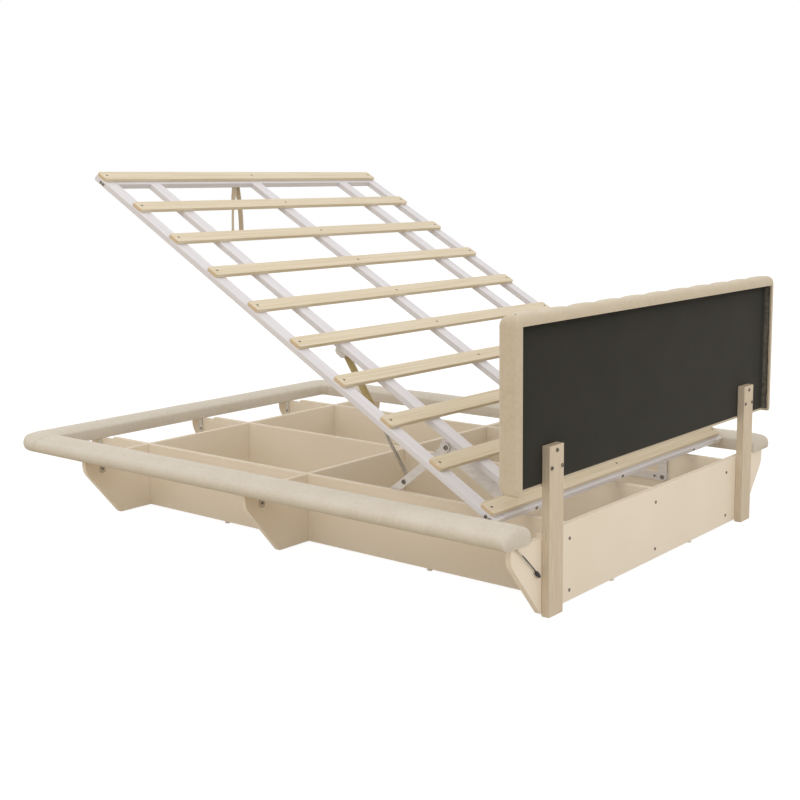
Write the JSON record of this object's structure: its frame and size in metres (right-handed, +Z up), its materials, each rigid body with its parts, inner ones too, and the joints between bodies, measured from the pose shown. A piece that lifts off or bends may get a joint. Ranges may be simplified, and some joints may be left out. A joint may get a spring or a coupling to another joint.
{
  "type": "floating storage bed",
  "caption": "Upholstered floating storage bed: cantilevered padded rails on a crossed board base, low headboard on posts and a gas-strut slatted platform that lifts.",
  "frame": {"origin": "centre of the bed's footprint, on the floor", "axes": "+X to the right side seen from the foot end, +Y to the headboard, +Z up"},
  "size_m": [1.61, 2.174, 1.1836],
  "materials": {
    "laminated_board": "cream matt laminate on particle board",
    "rail_timber": "raw plywood and softwood",
    "upholstery": "pale beige woven velvet-like upholstery over foam",
    "back_cloth": "black non-woven backing cloth",
    "post_timber": "clear-finished solid timber",
    "slat_timber": "clear-finished solid timber",
    "white_tube": "white powder coat, satin",
    "white_cap": "moulded white plastic",
    "lift_steel": "zinc-plated pressed steel",
    "dark_fastener": "dark plated steel",
    "strut_paint": "khaki enamel",
    "strut_rod": "hard chrome",
    "webbing": "tan woven webbing",
    "lead_sheath": "dark flexible sheath with a pale sleeve at its start",
    "plug_plastic": "moulded dark plastic",
    "glide_plastic": "moulded beige plastic"
  },
  "bodies": {
    "base": {"floor_glides": "glide_plastic", "foot_panel": "laminated_board", "head_panel": "laminated_board", "headboard_back_cover": "back_cloth", "headboard_board": "rail_timber", "headboard_pad": "upholstery", "lift_base_plate_left": "lift_steel", "lift_base_plate_right": "lift_steel", "long_panel_centre": "laminated_board", "long_panel_left": "laminated_board", "long_panel_right": "laminated_board", "mid_panel": "laminated_board", "panel_screws": "dark_fastener", "post_bolts": "dark_fastener", "post_left": "post_timber", "post_right": "post_timber", "power_lead": "lead_sheath", "power_plug": "plug_plastic", "rail_brackets": "lift_steel", "rail_core_foot": "rail_timber", "rail_core_left": "rail_timber", "rail_core_right": "rail_timber", "rail_pad_foot": "upholstery", "rail_pad_left": "upholstery", "rail_pad_right": "upholstery", "wood_screws": "dark_fastener"},
    "front_links": {"front_link_right": "lift_steel", "front_link_left": "lift_steel", "front_link_bolts": "dark_fastener"},
    "rear_links": {"rear_link_right": "lift_steel", "rear_link_left": "lift_steel", "rear_link_bolts": "dark_fastener"},
    "strut_cylinders": {"strut_cylinder_right": "strut_paint", "strut_cylinder_left": "strut_paint"},
    "strut_rods": {"strut_rod_right": "strut_rod", "strut_rod_left": "strut_rod"},
    "pull_strap": {"pull_strap": "webbing"},
    "platform": {"side_tube_right": "white_tube", "side_tube_left": "white_tube", "inner_tube_right": "white_tube", "inner_tube_left": "white_tube", "centre_tube": "white_tube", "foot_tube": "white_tube", "head_tube": "white_tube", "tube_caps": "white_cap", "slat_01": "slat_timber", "slat_02": "slat_timber", "slat_03": "slat_timber", "slat_04": "slat_timber", "slat_05": "slat_timber", "slat_06": "slat_timber", "slat_07": "slat_timber", "slat_08": "slat_timber", "slat_09": "slat_timber", "slat_10": "slat_timber", "slat_screws": "dark_fastener", "frame_bolts": "dark_fastener", "link_bracket_right": "lift_steel", "link_bracket_left": "lift_steel", "strut_brackets": "lift_steel"}
  },
  "joints": [
    {"name": "lift", "type": "hinge", "parent": "front_links", "child": "platform", "pos_m": [0, 0.623, 0.377], "axis": [1, 0, 0], "range_deg": [0, 59.1], "stiffness_Nm_per_rad": 40, "springref_deg": -171.89},
    {"name": "front_link_turn", "type": "hinge", "parent": "base", "child": "front_links", "pos_m": [0, 0.315, 0.138], "axis": [-1, 0, 0], "range_deg": [-0.05, 29.82]},
    {"name": "rear_link_turn", "type": "hinge", "parent": "base", "child": "rear_links", "pos_m": [0, 0.831, 0.138], "axis": [-1, 0, 0], "range_deg": [-0.05, 61.83]},
    {"name": "strut_swing", "type": "hinge", "parent": "platform", "child": "strut_cylinders", "pos_m": [0, 0.20682, 0.62517], "axis": [1, 0, 0], "range_deg": [-0.05, 18.13]},
    {"name": "strut_stroke", "type": "slide", "parent": "strut_cylinders", "child": "strut_rods", "axis": [0, -0.5636, 0.826], "range_m": [-0.0003, 0.16726]},
    {"name": "strap_swing", "type": "hinge", "parent": "platform", "child": "pull_strap", "pos_m": [0, -0.65901, 1.13688], "axis": [1, 0, 0], "range_deg": [-29.38, 0.05]}
  ],
  "couplings": [
    {"joint": "front_link_turn", "follows": "lift", "ratio": 0.50375},
    {"joint": "rear_link_turn", "follows": "lift", "ratio": 1.0453},
    {"joint": "strut_swing", "follows": "lift", "ratio": 0.30595},
    {"joint": "strut_stroke", "follows": "lift", "m_per_rad": 0.16185},
    {"joint": "strap_swing", "follows": "lift", "ratio": -0.49624}
  ]
}
